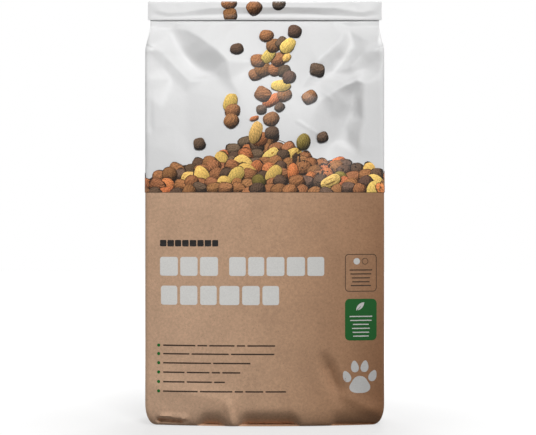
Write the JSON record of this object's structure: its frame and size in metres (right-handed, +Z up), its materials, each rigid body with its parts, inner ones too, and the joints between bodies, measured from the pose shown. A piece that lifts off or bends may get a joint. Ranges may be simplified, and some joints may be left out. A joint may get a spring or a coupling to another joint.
{
  "type": "pinch-bottom feed bag",
  "caption": "Full, closed paper feed bag with side gussets, standing on its folded foot, its flat mouth folded over to the front; kraft print below, white film above.",
  "frame": {"origin": "on the surface that the bag stands on, under the middle of its bounding box", "axes": "+X along the bag's width, to the right seen from the front; +Y from the front to the back; +Z up"},
  "size_m": [0.3998, 0.1545, 0.718],
  "materials": {
    "bag_paper": "film-laminated paper: satin white above, printed as uncoated kraft below"
  },
  "bodies": {
    "root": {"feed_bag": "bag_paper"}
  },
  "joints": []
}
